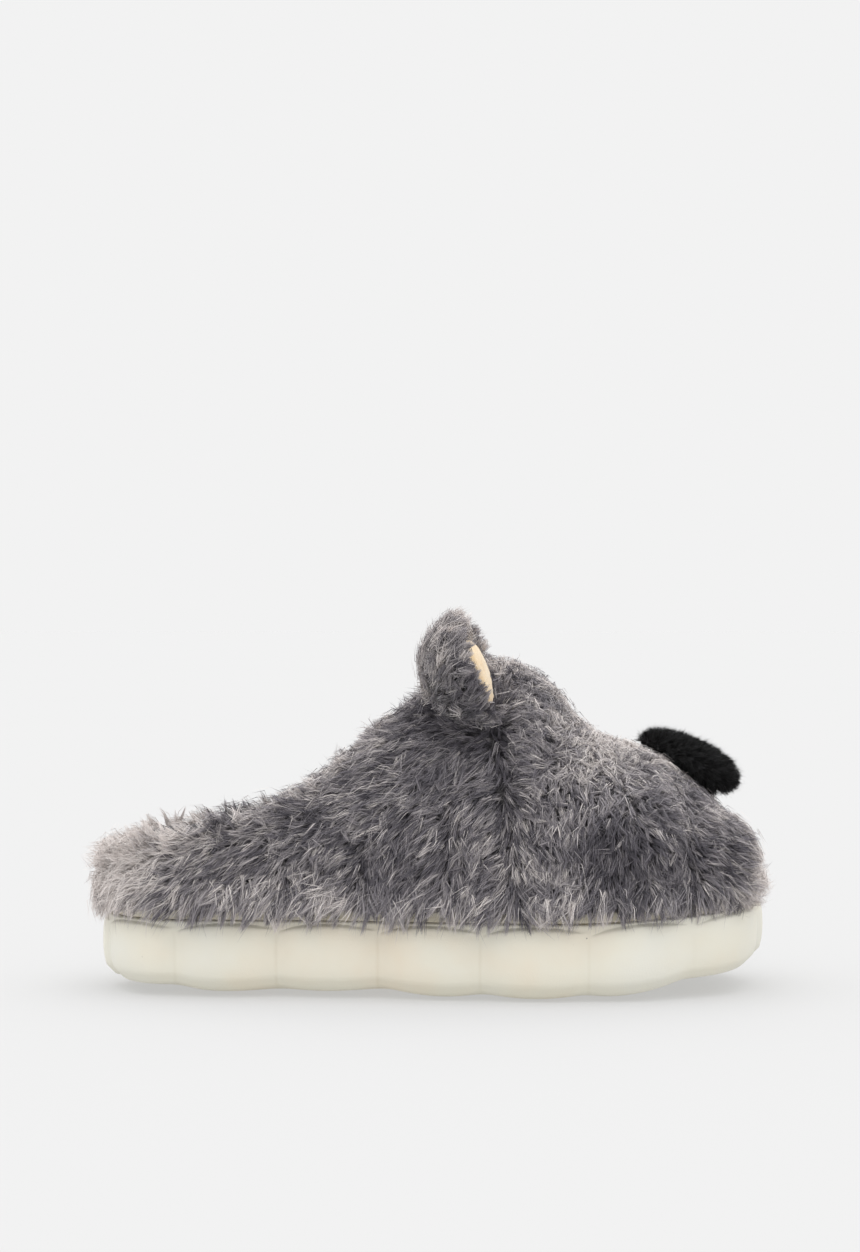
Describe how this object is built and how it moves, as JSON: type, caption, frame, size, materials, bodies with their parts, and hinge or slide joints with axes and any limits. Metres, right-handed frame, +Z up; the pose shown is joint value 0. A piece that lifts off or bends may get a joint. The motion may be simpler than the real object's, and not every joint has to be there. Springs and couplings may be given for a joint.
{
  "type": "novelty slipper",
  "caption": "Plush animal-head slipper for the right foot with a low furry heel collar, round ears, a nose pad and a thick puffed foam sole.",
  "frame": {"origin": "middle of the flat spot under the heel", "axes": "+X to the toe, +Y to the inner side of the foot, +Z up"},
  "size_m": [0.2832, 0.1196, 0.153],
  "materials": {
    "foam": "matt moulded foam",
    "board": "matt foam board",
    "footbed": "short plush",
    "fur": "long pile fur",
    "lining": "smooth velour over stuffing",
    "nose": "short black plush"
  },
  "bodies": {
    "root": {"sole": "foam", "rand": "board", "insole": "footbed", "upper": "fur", "ear_lateral": "fur", "ear_medial": "fur", "ear_lining_lateral": "lining", "ear_lining_medial": "lining", "nose": "nose"}
  },
  "joints": []
}
